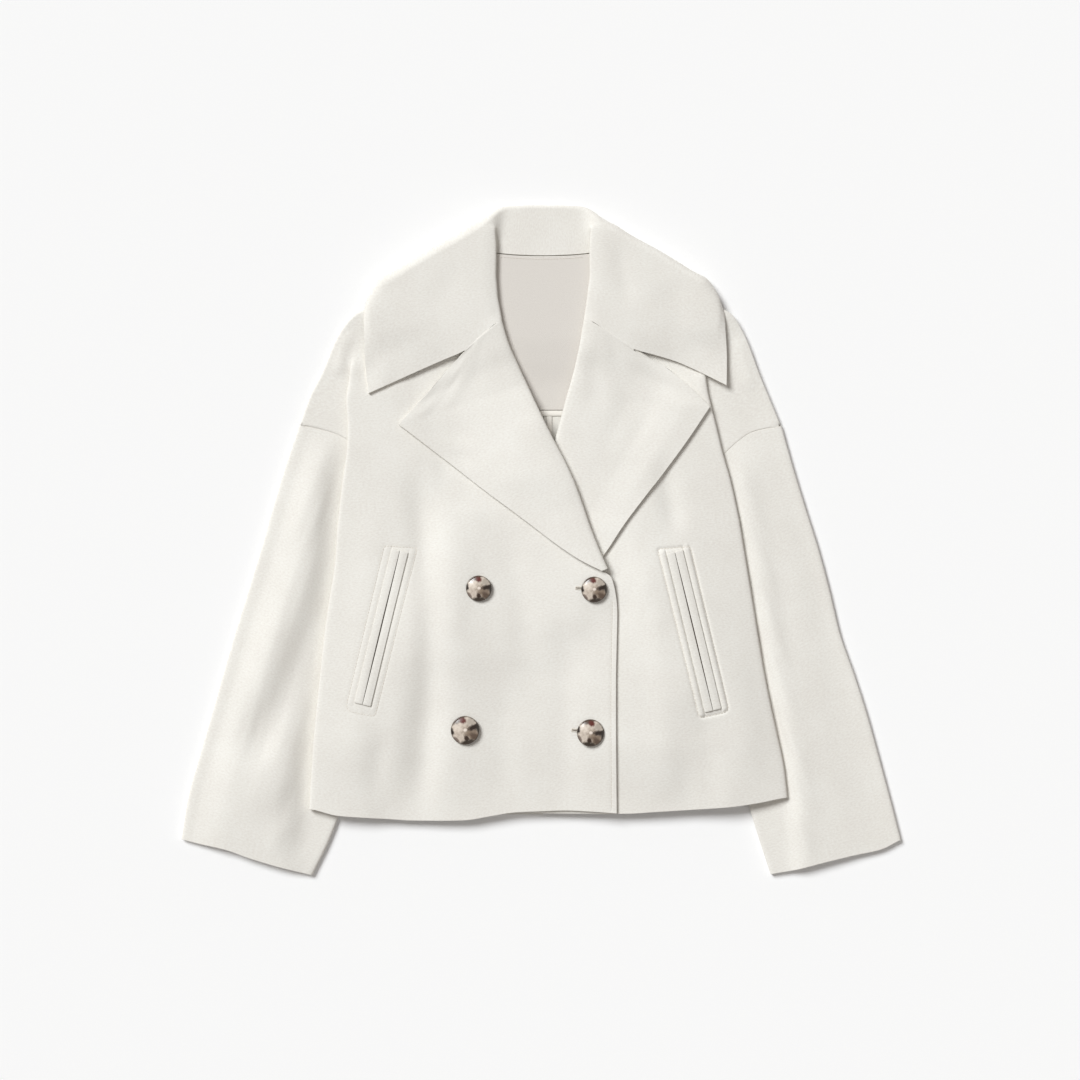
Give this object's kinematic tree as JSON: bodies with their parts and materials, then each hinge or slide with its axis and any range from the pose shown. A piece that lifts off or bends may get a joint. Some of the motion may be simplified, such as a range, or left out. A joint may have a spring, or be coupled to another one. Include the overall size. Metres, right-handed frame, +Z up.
{
  "type": "short double-breasted coat",
  "caption": "Short wool coat laid flat, front up, with wide collar and lapels, drop shoulders, slanted welt pockets and domed buttons.",
  "frame": {"origin": "on the surface the coat lies on, under the centre of its outline", "axes": "+Z up, off the surface; +Y from hem to collar; +X towards the wearer's left sleeve"},
  "size_m": [0.7471, 0.696, 0.0229],
  "materials": {
    "wool": "soft brushed ivory wool coating",
    "wool_inside": "inner face of the coating, a little darker",
    "binding": "matt woven seam binding",
    "horn": "polished marbled horn-effect resin"
  },
  "bodies": {
    "root": {"back_left": "wool", "back_right": "wool", "sleeve_left": "wool", "sleeve_right": "wool", "front_left": "wool", "front_right": "wool", "lapel_left": "wool", "lapel_right": "wool", "collar": "wool", "neck_facing": "wool_inside", "facing_binding": "binding", "seam_binding": "binding", "welt_left_inner": "wool", "welt_left_outer": "wool", "welt_right_inner": "wool", "welt_right_outer": "wool", "button_upper_right": "horn", "button_upper_left": "horn", "button_lower_right": "horn", "button_lower_left": "horn"}
  },
  "joints": []
}
